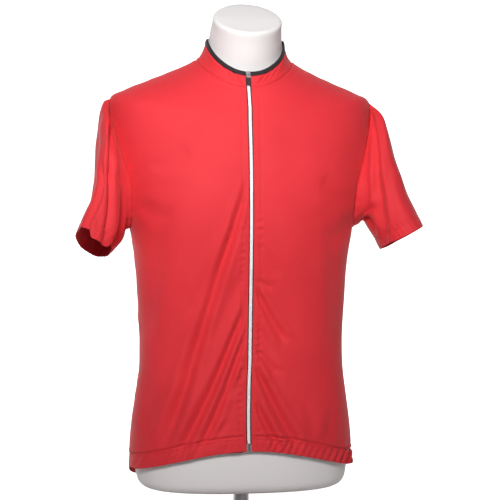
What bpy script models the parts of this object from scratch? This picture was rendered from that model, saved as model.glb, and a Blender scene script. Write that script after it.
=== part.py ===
"""A zip-front cycling jersey, worn by a limbless dress form on a low stand.

The jersey is cut as it is sewn: two fronts, a back with a longer tail, two sleeves, a stand
collar with a binding, a rear pocket panel and a full-length zip. Every panel lies on one body
surface, a stack of rings from the hem to the collar's top, so that the seams match. Tables hold
millimetres, and the meshes are in metres. +Z is up, the front faces -Y, and the origin is under
the middle of the base plate.
"""

import math

import bmesh
import bpy
import numpy as np
from mathutils import Matrix

MM = 0.001

# Cloth
WALL = 1.5
SEAM_GAP = 0.3
SEAM_TRIM = 0.0014  # half that gap as an angle round the body
POCKET_WALL = 1.2
BINDING_WALL = 2.2
TAPE_WALL = 1.0

# Zip
ZIP_OPENING = 3.8
CHAIN_HALF_WIDTH = 2.3
CHAIN_THICKNESS = 2.8
TAPE_INNER = 2.6
TAPE_OUTER = 9.0
SLIDER_WIDTH = 7.0
SLIDER_LENGTH = 10.0
SLIDER_THICKNESS = 1.8
CASTING_BEVEL = 0.5
BRIDGE_WIDTH = 2.2
BRIDGE_LENGTH = 6.2
BRIDGE_HEIGHT = 3.4
BRIDGE_STOCK = 0.9
BRIDGE_SUNK = 0.4  # how far its feet run into the slider
BRIDGE_MIDDLE = 0.5  # how far up the slider its middle is
PULL_WIDTH = 6.6
PULL_LENGTH = 21.0
PULL_THICKNESS = 1.2
PULL_BEVEL = 0.35
PULL_WINDOW = (3.4, 5.0)
PIVOT_OUT = 1.0  # from the slider's face to the pull's hinge line
PIVOT_ALONG = 0.4
BOX_SIZE = (7.0, 11.0, 2.2)
BOX_OUT = -0.5
BOX_RING = 0.12
CHAIN_FROM = 0.265
CHAIN_TO = 16.9
SLIDER_RING = 16.55

# Stand
BASE_RADIUS = 150.0
BASE_THICKNESS = 8.0
POLE_RADIUS = 12.5
FLANGE_RADIUS = 38.0
FLANGE_THICKNESS = 8.0
FORM_BOTTOM = 112.0

# How many faces a piece has each way
BODY_ROWS = 13
ARMHOLE_ROWS = 12
SHOULDER_ROWS = 5
FRONT_COLUMNS = 18
BACK_COLUMNS = 26
SLEEVE_ROWS = 10
COLLAR_ROWS = 3
COLLAR_COLUMNS = 40
FORM_COLUMNS = 32

# Rings of the body surface. side_z and half_width place the ring's points at the two sides, and
# front and back its points on the centre lines. square is 2 for an ellipse, more for a boxier
# ring, and bend is 1 for a ring tilted flat, 2 for one whose sides rise in a curve.
RING_COLUMNS = (
    "side_z", "half_width", "side_y", "front_z", "front_y", "back_z", "back_y", "square", "bend",
)
RINGS = (
    (146, 177.4, 4, 181, -108, 102, 120, 2.3, 3.0),
    (197, 176.6, 4, 226, -108, 160, 119, 2.3, 2.5),
    (255, 169.0, 3, 276, -106, 230, 113, 2.3, 2.0),
    (302, 162.6, 1, 318, -102, 284, 106, 2.3, 2.0),
    (347, 162.0, 0, 358, -101, 334, 101, 2.3, 2.0),
    (412, 165.0, 0, 418, -106, 402, 101, 2.3, 2.0),
    (470, 169.5, 0, 472, -115, 464, 107, 2.3, 2.0),
    (522, 177.5, 0, 520, -121, 518, 114, 2.28, 2.0),
    (575, 189.0, 0, 563, -122, 572, 118, 2.24, 2.0),
    (630, 200.0, 1, 606, -119, 630, 118, 2.15, 2.0),
    (686, 208.0, 2, 650, -113, 684, 114, 2.02, 1.95),
    (726, 208.5, 3, 687, -106, 722, 107, 1.92, 1.9),
    (740, 186.0, 3, 702, -101, 747, 98, 1.94, 1.8),
    (755, 150.0, 2, 715, -96, 769, 87, 1.98, 1.65),
    (771, 112.0, 0, 727, -91, 789, 74, 2.02, 1.5),
    (788, 77.0, -8, 738, -86, 806, 57, 2.05, 1.4),
    (804, 65.5, -17, 751, -81, 820, 46, 2.1, 1.3),
    (819, 61.5, -23, 762, -77, 834, 39, 2.1, 1.25),
)
PIT, TIP, SEAM, COLLAR_TOP = 7, 11, 15, 17
BINDING_FROM = 16.4
# The neck and the collar sit a little towards the wearer's left, and the zip stays in the middle
NECK_SHIFT = 3.6
NECK_SHIFT_RINGS = (13.0, 15.6)
# The back's hem drops at once behind the side seams, so the tail's foot is nearly level
TAIL_DROP = 70.0
TAIL_RINGS = (1.3, 0.0)

# Armhole: how far each panel's edge draws in from the side line, in degrees, and how round it is
ARMHOLE_COLUMNS = ("panel", "dip", "roundness")
ARMHOLES = {"front": (27.0, 0.7), "back": (24.0, 0.7)}
ARMHOLE_EASE = 0.76  # how much of that is lost on the way up to the shoulder

# Sleeve rings past the armhole. outer and inner are the ring's ends away from and beside the
# body, lift raises its front edge and drops its back edge.
SLEEVE_COLUMNS = ("outer_x", "outer_z", "inner_x", "inner_z", "mid_y", "half_depth", "lift")
SLEEVES = {
    "right": (
        -1,
        (
            (222, 714, 185, 519, -6, 66, 0),
            (231, 652, 189, 508, -20, 67, 5),
            (237, 577, 196, 497, -37, 65, 12),
            (263, 510, 209, 487, -54, 61, 19),
        ),
    ),
    "left": (
        1,
        (
            (228, 704, 187, 529, -6, 66, 0),
            (242, 642, 197, 535, -20, 67, 2),
            (258, 580, 208, 515, -37, 65, 5),
            (280, 522, 219, 492, -54, 61, 10),
        ),
    ),
}

# Folds, seen from the front or the back: a trough from (x0, z0) to (x1, z1), with a bow to its side
FOLD_COLUMNS = ("x0", "z0", "x1", "z1", "bow", "half_width", "depth")
FRONT_FOLDS = (
    (-12, 572, -124, 212, 0, 12, 4.6),
    (-12, 396, -106, 196, -5, 11, 4.6),
    (-11, 354, -76, 205, -3, 9, 3.6),
    (14, 418, 50, 352, 2, 9, 3.2),
    (13, 306, 70, 196, 3, 11, 4.2),
    (12, 248, 40, 198, 2, 8, 2.8),
    (-134, 520, -158, 350, 4, 12, 2.2),
    (132, 240, 118, 190, 0, 10, 2.0),
    (128, 500, 142, 330, -4, 13, 2.0),
)
BACK_FOLDS = (
    (-60, 480, -148, 350, -6, 12, 4.0),
    (52, 460, 140, 330, 5, 12, 4.4),
    (-20, 440, -84, 338, 3, 11, 3.2),
    (96, 570, 128, 430, 6, 13, 3.2),
    (-104, 585, -138, 450, -5, 13, 3.4),
)
# Folds that run down a sleeve: place round it (0 underarm, 90 front, 180 outside), where it
# starts and ends along it, half width in degrees and depth
SLEEVE_FOLD_COLUMNS = ("angle", "start", "end", "half_angle", "depth")
SLEEVE_FOLDS = {
    "right": (
        (88, 0.05, 0.8, 12, 5.0),
        (122, 0.5, 1.05, 12, 4.4),
        (64, 0.6, 1.05, 12, 3.0),
        (34, 0.2, 0.9, 12, 2.6),
        (250, 0.2, 1.05, 15, 3.6),
        (306, 0.4, 1.05, 13, 2.6),
    ),
    "left": (
        (70, 0.05, 0.9, 12, 4.8),
        (24, 0.1, 0.7, 12, 2.6),
        (148, 0.3, 0.9, 14, 1.6),
        (252, 0.15, 1.05, 14, 3.6),
        (304, 0.35, 1.05, 13, 2.8),
    ),
}

# The form: its own rings below the jersey and in the neck, and how far it lies inside the
# jersey's outer face in between
FORM_FOOT = (
    (112.0, 138.0, 0, 112.0, -78, 112.0, 84, 2.4, 2.0),
    (113.5, 150.0, 0, 113.5, -88, 113.5, 94, 2.4, 2.0),
    (119.0, 160.5, 0, 119.0, -95, 119.0, 102, 2.35, 2.0),
    (131.0, 167.0, 1, 131.0, -99, 131.0, 107, 2.3, 2.0),
    (160.0, 170.0, 2, 165.0, -100, 155.0, 110, 2.3, 2.0),
    (205.0, 168.0, 2, 220.0, -99, 190.0, 109, 2.3, 2.0),
)
INSET_COLUMNS = ("ring", "inset")
FORM_INSETS = ((2.0, 8.5), (3.0, 8.0), (4.0, 8.0), (5.0, 8.0), (6.0, 7.5), (7.0, 6.5), (8.0, 5.5),
               (9.0, 5.0), (10.0, 4.4), (11.0, 2.7), (11.8, 2.4), (12.6, 2.3), (13.4, 2.3),
               (14.2, 2.3), (15.0, 2.4), (15.47, 2.6), (15.93, 2.6), (17.0, 3.4))
# How much deeper the form lies behind the zip
ZIP_RELIEF = 1.7
FORM_NECK = (
    (833.0, 56.0, -33, 783.0, -80, 850.0, 27, 2.0, 1.0),
    (841.0, 54.5, -42, 802.0, -86, 866.0, 15, 2.0, 1.0),
    (847.0, 54.0, -48, 816.0, -91, 877.0, 7, 2.0, 1.0),
    (850.0, 50.5, -49, 821.5, -89, 880.5, 2, 2.0, 1.0),
    (850.0, 44.5, -50, 824.5, -84, 879.5, -4, 2.0, 1.0),
)

RED = ("knit polyester", (0.72, 0.045, 0.055), 0.75, 0.0)
BLACK = ("black tape", (0.02, 0.018, 0.02), 0.8, 0.0)
WHITE = ("zip coil", (0.86, 0.86, 0.88), 0.4, 0.0)
METAL = ("zip metal", (0.55, 0.55, 0.57), 0.32, 1.0)
GUNMETAL = ("zip pull metal", (0.16, 0.16, 0.17), 0.35, 1.0)
SHELL = ("form shell", (0.84, 0.82, 0.82), 0.45, 0.0)
STEEL = ("stand steel", (0.5, 0.5, 0.52), 0.3, 1.0)
PAINT = ("black flange", (0.02, 0.02, 0.02), 0.5, 0.0)


def clear_scene():
    for obj in list(bpy.data.objects):
        bpy.data.objects.remove(obj, do_unlink=True)


def material(look):
    name, colour, roughness, metallic = look
    made = bpy.data.materials.get(name)
    if made:
        return made
    made = bpy.data.materials.new(name)
    made.use_nodes = True
    shader = made.node_tree.nodes["Principled BSDF"]
    shader.inputs["Base Color"].default_value = (*colour, 1.0)
    shader.inputs["Roughness"].default_value = roughness
    shader.inputs["Metallic"].default_value = metallic
    return made


def through(rows, t):
    """A smooth curve through a table's rows at the places t, counted in rows."""
    rows = np.asarray(rows, float)
    rows = np.concatenate([2 * rows[:1] - rows[1:2], rows, 2 * rows[-1:] - rows[-2:-1]])
    t = np.asarray(t, float)
    first = np.clip(np.floor(t).astype(int), 0, len(rows) - 4)
    u = (t - first)[..., None]
    a, b, c, d = (rows[first + step] for step in range(4))
    slope, bend = (c - a) / 2, (d - b) / 2
    return b + u * (slope + u * (3 * (c - b) - 2 * slope - bend + u * (2 * (b - c) + slope + bend)))


def ring_points(row, theta):
    """Points on one ring. theta is 0 at the front, pi/2 at the wearer's left and pi behind."""
    side_z, half_width, side_y, front_z, front_y, back_z, back_y, square, bend = np.moveaxis(row, -1, 0)
    across, ahead = np.sin(theta), np.cos(theta)
    reach = (np.abs(across) ** square + np.abs(ahead) ** square) ** (-1 / square)
    depth = np.where(ahead > 0, side_y - front_y, back_y - side_y)
    rise = np.where(ahead > 0, front_z, back_z) - side_z
    return np.stack(
        [
            half_width * reach * across,
            side_y - depth * reach * ahead,
            side_z + rise * np.abs(ahead) ** bend,
        ],
        axis=-1,
    )


def neck_shift(t):
    return NECK_SHIFT * ramp(t, *NECK_SHIFT_RINGS)


def body(theta, t):
    theta, t = np.broadcast_arrays(theta, t)
    points = ring_points(through(RINGS, t), theta)
    points[..., 0] += neck_shift(t)
    behind = np.maximum(-np.cos(theta), 0)
    points[..., 2] -= TAIL_DROP * ramp(t, *TAIL_RINGS) * (behind - behind ** 2)
    return points


def angle_at(x, rings):
    """The angle of a point near the front's middle, x to the wearer's left of it."""
    return (x - neck_shift(rings)) / through(RINGS, rings)[..., 1]


def unit(vectors):
    return vectors / np.linalg.norm(vectors, axis=-1, keepdims=True)


def body_normal(theta, t):
    step = 1e-3
    around = body(theta + step, t) - body(theta - step, t)
    up = body(theta, t + step) - body(theta, t - step)
    return unit(np.cross(around, up))


def ramp(value, low, high):
    u = np.clip((value - low) / (high - low), 0, 1)
    return u * u * (3 - 2 * u)


def fold_height(x, z, folds):
    """How far the folds move the cloth out, less than 0 in a trough and more beside it."""
    height = np.zeros_like(x)
    clear_of_zip = ramp(np.abs(x), 15, 30)
    for x0, z0, x1, z1, bow, half_width, depth in folds:
        length = math.hypot(x1 - x0, z1 - z0)
        run, side = (x1 - x0) / length, (z1 - z0) / length
        along = ((x - x0) * run + (z - z0) * side) / length
        off = (x - x0) * side - (z - z0) * run - bow * 4 * along * (1 - along)
        fade = ramp(along, -0.05, 0.22) * ramp(along, 1.05, 0.8) * clear_of_zip
        trough = np.exp(-((off / half_width) ** 2))
        brow = np.exp(-(((np.abs(off) - 2 * half_width) / half_width) ** 2))
        height += depth * fade * (0.5 * brow - trough)
    return height


def armhole_edge(panel, phi):
    """A panel's edge at the armhole, phi 0 at the pit and pi at the shoulder tip: (angle, ring)."""
    dip, roundness = ARMHOLES[panel]
    up = (1 - np.cos(phi)) / 2
    inward = math.radians(dip) * np.sin(phi) ** roundness * (1 - ARMHOLE_EASE * ramp(up, 0.25, 0.95))
    ring = PIT + (TIP - PIT) * up
    return (math.pi / 2 - inward if panel == "front" else math.pi / 2 + inward), ring


def panel_rows(panel):
    """For each row of a panel: its ring, and the angle of its edge at the side."""
    below = np.linspace(0, PIT, BODY_ROWS + 1)[:-1]
    edge, armhole = armhole_edge(panel, np.linspace(0, math.pi, ARMHOLE_ROWS + 1))
    above = np.linspace(TIP, SEAM, SHOULDER_ROWS + 1)[1:]
    side_line = math.pi / 2
    rings = np.concatenate([below, armhole, above])
    edges = np.concatenate([np.full(len(below), side_line), edge, np.full(len(above), side_line)])
    return rings, edges


def mesh_object(name, points, faces, look):
    mesh = bpy.data.meshes.new(name)
    mesh.from_pydata([tuple(p) for p in np.asarray(points) * MM], [], faces)
    work = bmesh.new()
    work.from_mesh(mesh)
    bmesh.ops.remove_doubles(work, verts=work.verts, dist=1e-7)
    bmesh.ops.recalc_face_normals(work, faces=work.faces)
    work.to_mesh(mesh)
    work.free()
    mesh.materials.append(material(look))
    mesh.shade_smooth()
    mesh.set_sharp_from_angle(angle=math.radians(40))
    obj = bpy.data.objects.new(name, mesh)
    bpy.context.scene.collection.objects.link(obj)
    return obj


def cloth(name, outer, inner, look, closed=False):
    """A wall between two grids of points. A closed one goes all round, as a sleeve does."""
    rows, columns = outer.shape[:2]
    points = np.concatenate([outer.reshape(-1, 3), inner.reshape(-1, 3)])
    place = np.arange(rows * columns).reshape(rows, columns)
    under = place + rows * columns
    last = columns if closed else columns - 1
    faces = []
    for grid in (place, under):
        for row in range(rows - 1):
            for column in range(last):
                beside = (column + 1) % columns
                a, b = grid[row, column], grid[row, beside]
                c, d = grid[row + 1, beside], grid[row + 1, column]
                faces += [(a, b, c), (a, c, d)] if grid is place else [(a, c, b), (a, d, c)]
    for row in (0, rows - 1):
        for column in range(last):
            beside = (column + 1) % columns
            faces.append((place[row, column], place[row, beside], under[row, beside], under[row, column]))
    for column in () if closed else (0, columns - 1):
        for row in range(rows - 1):
            faces.append(
                (place[row, column], place[row + 1, column], under[row + 1, column], under[row, column])
            )
    return mesh_object(name, points, faces, look)


def sleeve_surface(side, rings, phi, v):
    """Points of a sleeve, phi round it and v from 0 at the armhole to 1 at the cuff."""
    armhole, _ = armhole_loop(side, phi)
    loops = [armhole]
    for outer_x, outer_z, inner_x, inner_z, mid_y, half_depth, lift in rings:
        out, ahead = -np.cos(phi), np.sin(phi)
        x = (outer_x + inner_x) / 2 + (outer_x - inner_x) / 2 * out
        y = mid_y - half_depth * ahead
        z = (outer_z + inner_z) / 2 + (outer_z - inner_z) / 2 * out + lift * ahead
        loops.append(np.stack([side * x, y, z], axis=-1))
    loops = np.stack(loops)
    smooth = through(loops.reshape(len(loops), -1), np.atleast_1d(v) * (len(loops) - 1))
    return smooth.reshape(len(np.atleast_1d(v)), len(phi), 3)


def armhole_loop(side, phi):
    """The seam where a sleeve joins the body, and the body's normals along it."""
    ahead = phi <= math.pi
    front = armhole_edge("front", np.where(ahead, phi, 0))
    back = armhole_edge("back", np.where(ahead, 0, 2 * math.pi - phi))
    theta = np.where(ahead, front[0], back[0]) * side
    ring = np.where(ahead, front[1], back[1])
    return body(theta, ring), body_normal(theta, ring)


def armhole_mitre(side, rings, phi):
    """Half-way normals along the seam, and the way the sleeve's edge stands off from the body's."""
    step = 1e-3
    seam, normal = armhole_loop(side, phi)
    leave = unit(sleeve_surface(side, rings, phi, 0.04)[0] - seam)
    ahead = armhole_loop(side, (phi + step) % (2 * math.pi))[0]
    behind = armhole_loop(side, (phi - step) % (2 * math.pi))[0]
    run = unit(ahead - behind)
    sleeve_normal = unit(np.cross(leave, run)) * side
    sleeve_normal *= np.sign(np.sum(sleeve_normal * (seam - seam.mean(axis=0)), axis=-1))[:, None]
    half_way = unit(normal + sleeve_normal)
    off = np.cross(half_way, run)
    off *= np.sign(np.sum(off * leave, axis=-1))[:, None]
    return half_way, unit(off)


def panel(side, columns, folds, kind):
    """A front half (side -1 or 1) or the back (side 0): outer points and the way its wall goes."""
    rings, edges = panel_rows(kind)
    share = np.linspace(0, 1, columns + 1)
    if side:
        start, end = angle_at(side * ZIP_OPENING, rings), side * (edges - SEAM_TRIM)
    else:
        start, end = edges + SEAM_TRIM, 2 * math.pi - edges - SEAM_TRIM
    theta = start[:, None] + (end - start)[:, None] * share
    points = body(theta, rings[:, None])
    normals = body_normal(theta, rings[:, None])
    height = fold_height(points[..., 0], points[..., 2], folds)
    points = points + normals * height[..., None]
    return points, normals


def make_panels():
    phi = np.linspace(0, math.pi, ARMHOLE_ROWS + 1)
    rows = slice(BODY_ROWS, BODY_ROWS + ARMHOLE_ROWS + 1)
    made = {}
    for name, side in (("left", 1), ("right", -1)):
        points, normals = panel(side, FRONT_COLUMNS, FRONT_FOLDS, "front")
        normals[rows, -1] = armhole_mitre(side, SLEEVES[name][1], phi)[0]
        made["front_" + name] = (points, normals)
    points, normals = panel(0, BACK_COLUMNS, BACK_FOLDS, "back")
    behind = (2 * math.pi - phi) % (2 * math.pi)
    normals[rows, 0] = armhole_mitre(1, SLEEVES["left"][1], behind)[0]
    normals[rows, -1] = armhole_mitre(-1, SLEEVES["right"][1], behind)[0]
    made["back"] = (points, normals)
    for name, (points, normals) in made.items():
        cloth(name, points, points - WALL * normals, RED)
    return made


def make_pockets(back):
    """Three pockets in one panel, sewn over the lower back: made from the back's own points."""
    points, normals = back
    rows, columns = slice(1, 7), slice(4, BACK_COLUMNS - 3)
    points, normals = points[rows, columns], normals[rows, columns]
    out = SEAM_GAP + POCKET_WALL
    cloth("pocket_panel", points + out * normals, points + SEAM_GAP * normals, RED)


def grid_normals(points):
    """Normals of a tube's grid of points, columns all round."""
    around = np.roll(points, -1, axis=1) - np.roll(points, 1, axis=1)
    along = np.gradient(points, axis=0)
    return unit(np.cross(around, along))


def make_sleeves():
    phi = np.linspace(0, 2 * math.pi, 2 * ARMHOLE_ROWS, endpoint=False)
    v = np.linspace(0, 1, SLEEVE_ROWS + 1)
    for name, (side, rings) in SLEEVES.items():
        points = sleeve_surface(side, rings, phi, v)
        normals = grid_normals(points)
        middle = points.mean(axis=1, keepdims=True)
        normals *= np.sign(np.sum(normals * (points - middle)))
        height = np.zeros(points.shape[:2])
        for angle, start, end, half_angle, depth in SLEEVE_FOLDS[name]:
            off = (np.degrees(phi)[None, :] - angle + 180) % 360 - 180
            fade = ramp(v, start, start + 0.3) * ramp(v, end + 0.25, end - 0.1)
            trough = np.exp(-((off / half_angle) ** 2))
            brow = np.exp(-(((np.abs(off) - 2 * half_angle) / half_angle) ** 2))
            height += depth * fade[:, None] * (0.5 * brow - trough)
        points = points + normals * height[..., None]
        half_way, off = armhole_mitre(side, rings, phi)
        points[0] += SEAM_GAP * off
        normals[0] = half_way
        cloth("sleeve_" + name, points, points - WALL * normals, RED, closed=True)


def make_collar():
    gap = SEAM_GAP / 14
    spans = (
        ("collar", SEAM + gap, BINDING_FROM - gap, COLLAR_ROWS, 0.0, WALL, RED),
        ("collar_binding", BINDING_FROM + gap, COLLAR_TOP, 1, 0.35, BINDING_WALL, BLACK),
    )
    for name, first, last, count, proud, wall, look in spans:
        rings = np.linspace(first, last, count + 1)[:, None]
        share = np.linspace(0, 1, COLLAR_COLUMNS + 1)
        start, end = angle_at(ZIP_OPENING, rings), 2 * math.pi + angle_at(-ZIP_OPENING, rings)
        theta = start * (1 - share) + end * share
        points, normals = body(theta, rings), body_normal(theta, rings)
        cloth(name, points + proud * normals, points + (proud - wall) * normals, look)


def make_strip(name, low_x, high_x, first, last, top, thickness, look):
    """A strip down the front's centre line, between two distances from it."""
    rows = np.concatenate([panel_rows("front")[0], np.linspace(SEAM, BINDING_FROM, COLLAR_ROWS + 1)])
    rows = np.unique(rows[(rows > first) & (rows < last)])
    rings = np.concatenate([[first], rows, [last]])[:, None]
    theta = angle_at(np.array([low_x, high_x]), rings)
    points, normals = body(theta, rings), body_normal(theta, rings)
    return cloth(name, points + top * normals, points + (top - thickness) * normals, look)


def make_zip():
    under = -WALL - SEAM_GAP
    last = BINDING_FROM - SEAM_GAP / 14
    make_strip("zip_tape_left", TAPE_INNER, TAPE_OUTER, 0.02, last, under, TAPE_WALL, BLACK)
    make_strip("zip_tape_right", -TAPE_OUTER, -TAPE_INNER, 0.02, last, under, TAPE_WALL, BLACK)
    half = CHAIN_HALF_WIDTH
    make_strip("zip_chain", -half, half, CHAIN_FROM, CHAIN_TO, 0.0, CHAIN_THICKNESS, WHITE)
    box = block("zip_box", (0, 0, BOX_OUT), BOX_SIZE, METAL, CASTING_BEVEL)
    box.matrix_world = zip_frame(BOX_RING)
    make_slider()


def zip_frame(ring):
    """Place on the front's centre line: x across, y up along the zip, z out of the cloth."""
    theta = angle_at(0.0, ring)
    at, out = body(theta, ring), body_normal(theta, ring)
    up = unit(np.cross(out, (1.0, 0.0, 0.0)))
    across = np.cross(up, out)
    frame = np.eye(4)
    frame[:3, 0], frame[:3, 1], frame[:3, 2], frame[:3, 3] = across, up, out, at * MM
    return Matrix(frame.tolist())


def block(name, middle, size, look, bevel=0.0):
    work = bmesh.new()
    bmesh.ops.create_cube(work, size=1.0)
    bmesh.ops.scale(work, vec=[s * MM for s in size], verts=work.verts)
    bmesh.ops.translate(work, vec=[c * MM for c in middle], verts=work.verts)
    mesh = bpy.data.meshes.new(name)
    work.to_mesh(mesh)
    work.free()
    mesh.materials.append(material(look))
    obj = bpy.data.objects.new(name, mesh)
    bpy.context.scene.collection.objects.link(obj)
    if bevel:
        rounded = obj.modifiers.new("Bevel", "BEVEL")
        rounded.width = bevel * MM
        rounded.segments = 1
    return obj


def cutter(obj):
    obj.hide_render = True
    obj.display_type = "WIRE"
    return obj


def boolean(obj, other, operation):
    cut = obj.modifiers.new(other.name, "BOOLEAN")
    cut.operation = operation
    cut.object = other


def make_slider():
    """The slider stands over the chain's top end, and its bridge carries the pull tab."""
    frame = zip_frame(SLIDER_RING)
    face = SEAM_GAP + SLIDER_THICKNESS
    slider = block(
        "zip_slider",
        (0, 0, SEAM_GAP + SLIDER_THICKNESS / 2),
        (SLIDER_WIDTH, SLIDER_LENGTH, SLIDER_THICKNESS),
        METAL,
        CASTING_BEVEL,
    )
    arch = block(
        "slider_bridge",
        (0, BRIDGE_MIDDLE, face - BRIDGE_SUNK + BRIDGE_HEIGHT / 2),
        (BRIDGE_WIDTH, BRIDGE_LENGTH, BRIDGE_HEIGHT),
        METAL,
    )
    inside = BRIDGE_HEIGHT - BRIDGE_STOCK
    gap = block(
        "slider_bridge_gap",
        (0, BRIDGE_MIDDLE, face - BRIDGE_SUNK + inside / 2),
        (2 * BRIDGE_WIDTH, BRIDGE_LENGTH - 2 * BRIDGE_STOCK, inside),
        METAL,
    )
    boolean(arch, cutter(gap), "DIFFERENCE")
    boolean(slider, cutter(arch), "UNION")
    for obj in (slider, arch, gap):
        obj.matrix_world = frame
    window_width, window_length = PULL_WINDOW
    bar = PULL_THICKNESS
    pull = block(
        "zip_pull",
        (0, bar / 2 - PULL_LENGTH / 2, 0),
        (PULL_WIDTH, PULL_LENGTH, PULL_THICKNESS),
        GUNMETAL,
        PULL_BEVEL,
    )
    window = block(
        "zip_pull_window",
        (0, -bar / 2 - window_length / 2, 0),
        (window_width, window_length, 3 * PULL_THICKNESS),
        GUNMETAL,
    )
    boolean(pull, cutter(window), "DIFFERENCE")
    place = frame @ Matrix.Translation((0, PIVOT_ALONG * MM, (face + PIVOT_OUT) * MM))
    pull.matrix_world = place
    window.matrix_world = place


def inset_ring(ring, inset, theta):
    depth = inset + ZIP_RELIEF * np.maximum(np.cos(theta), 0) ** 12
    return body(theta, ring) - depth[:, None] * body_normal(theta, ring)


def make_form():
    """A smooth closed torso with a neck: rings from its flat foot to its neck cap."""
    theta = np.linspace(0, 2 * math.pi, FORM_COLUMNS, endpoint=False)
    loops = [ring_points(np.array(row, float), theta) for row in FORM_FOOT]
    loops += [inset_ring(ring, inset, theta) for ring, inset in FORM_INSETS]
    loops += [ring_points(np.array(row, float), theta) + (NECK_SHIFT, 0, 0) for row in FORM_NECK]
    points = np.concatenate(loops)
    faces = []
    for row in range(len(loops) - 1):
        for column in range(FORM_COLUMNS):
            beside = (column + 1) % FORM_COLUMNS
            low, high = row * FORM_COLUMNS, (row + 1) * FORM_COLUMNS
            faces.append((low + column, low + beside, high + beside, high + column))
    faces.append(tuple(range(FORM_COLUMNS)))
    cap = (len(loops) - 1) * FORM_COLUMNS
    middle = len(points)
    points = np.concatenate([points, loops[-1].mean(axis=0, keepdims=True)])
    faces += [(cap + c, cap + (c + 1) % FORM_COLUMNS, middle) for c in range(FORM_COLUMNS)]
    return mesh_object("dress_form", points, faces, SHELL)


def disc(name, radius, low, high, look, bevel=0.0, sides=32):
    work = bmesh.new()
    bmesh.ops.create_cone(
        work, cap_ends=True, segments=sides, radius1=radius * MM, radius2=radius * MM,
        depth=(high - low) * MM,
    )
    bmesh.ops.translate(work, vec=(0, 0, (low + high) / 2 * MM), verts=work.verts)
    mesh = bpy.data.meshes.new(name)
    work.to_mesh(mesh)
    work.free()
    mesh.materials.append(material(look))
    mesh.shade_smooth()
    mesh.set_sharp_from_angle(angle=math.radians(40))
    obj = bpy.data.objects.new(name, mesh)
    bpy.context.scene.collection.objects.link(obj)
    if bevel:
        rounded = obj.modifiers.new("Bevel", "BEVEL")
        rounded.width = bevel * MM
        rounded.segments = 2
    return obj


def make_stand():
    flange_low = FORM_BOTTOM - SEAM_GAP - FLANGE_THICKNESS
    disc("form_flange", FLANGE_RADIUS, flange_low, FORM_BOTTOM - SEAM_GAP, PAINT, 1.0)
    disc("stand_pole", POLE_RADIUS, BASE_THICKNESS + SEAM_GAP, flange_low - SEAM_GAP, STEEL, sides=24)
    disc("stand_base", BASE_RADIUS, 0.0, BASE_THICKNESS, STEEL, 3.0, sides=48)


clear_scene()
panels = make_panels()
make_pockets(panels["back"])
make_sleeves()
make_collar()
make_zip()
make_form()
make_stand()
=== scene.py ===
"""A red zip-front cycling jersey on a limbless white dress form, in a pale studio."""

import math

import bmesh
import bpy
import numpy as np
from mathutils import Matrix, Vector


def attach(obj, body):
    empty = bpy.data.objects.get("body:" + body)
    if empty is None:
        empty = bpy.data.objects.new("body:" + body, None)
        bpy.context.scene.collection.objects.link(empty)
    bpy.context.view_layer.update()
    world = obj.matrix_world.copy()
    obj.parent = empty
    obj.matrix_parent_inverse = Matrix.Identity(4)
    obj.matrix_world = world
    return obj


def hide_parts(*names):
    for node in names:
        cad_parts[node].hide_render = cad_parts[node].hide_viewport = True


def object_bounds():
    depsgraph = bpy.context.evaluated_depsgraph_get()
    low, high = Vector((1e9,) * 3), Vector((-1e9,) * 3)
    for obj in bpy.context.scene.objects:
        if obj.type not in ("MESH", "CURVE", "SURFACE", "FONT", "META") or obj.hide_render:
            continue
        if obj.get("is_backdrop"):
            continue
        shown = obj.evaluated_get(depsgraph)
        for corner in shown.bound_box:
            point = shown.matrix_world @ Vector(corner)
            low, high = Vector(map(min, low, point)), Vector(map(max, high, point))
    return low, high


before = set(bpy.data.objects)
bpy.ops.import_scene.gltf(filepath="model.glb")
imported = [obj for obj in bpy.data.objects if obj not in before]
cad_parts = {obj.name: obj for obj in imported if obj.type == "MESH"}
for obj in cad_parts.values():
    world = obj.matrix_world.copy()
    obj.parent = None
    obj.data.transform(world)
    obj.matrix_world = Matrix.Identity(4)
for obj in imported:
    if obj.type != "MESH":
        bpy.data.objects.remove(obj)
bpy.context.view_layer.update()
MM = 0.001


# Camera and studio
# A long lens below the height of the chest, a little to the wearer's right. A white sweep runs
# under and up behind the stand. A gridded softbox hangs high in front, and a wide fill lower.

AZIMUTH = math.radians(-8)
DISTANCE = 2.1
EYE_HEIGHT = 0.487
LENS = 94.5
LENS_SHIFT = 0.018


def hex_to_linear(code):
    """An sRGB hex colour as linear red, green, blue and alpha."""
    parts = [int(code[place:place + 2], 16) / 255 for place in (1, 3, 5)]
    linear = [p / 12.92 if p <= 0.04045 else ((p + 0.055) / 1.055) ** 2.4 for p in parts]
    return (*linear, 1.0)


def add_node(tree, kind, inputs=None, **settings):
    """Adds a node with its settings. An input is a value, or another node's output to link."""
    node = tree.nodes.new(kind)
    for name, value in settings.items():
        setattr(node, name, value)
    for name, value in (inputs or {}).items():
        if isinstance(value, bpy.types.NodeSocket):
            tree.links.new(value, node.inputs[name])
        else:
            node.inputs[name].default_value = value
    return node


def new_material(name, colour, roughness, **sockets):
    """A material with plain values on its shader: returns it, its tree and its shader."""
    made = bpy.data.materials.new(name)
    made.use_nodes = True
    shader = made.node_tree.nodes["Principled BSDF"]
    shader.inputs["Base Color"].default_value = hex_to_linear(colour)
    shader.inputs["Roughness"].default_value = roughness
    for socket, value in sockets.items():
        shader.inputs[socket.replace("_", " ").title()].default_value = value
    return made, made.node_tree, shader


def add_bump(tree, shader, height, strength, distance):
    """Raises a material's surface by a node's output, up to a distance in metres."""
    bump = add_node(
        tree, "ShaderNodeBump", {"Height": height, "Strength": strength, "Distance": distance}
    )
    tree.links.new(bump.outputs["Normal"], shader.inputs["Normal"])


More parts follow.
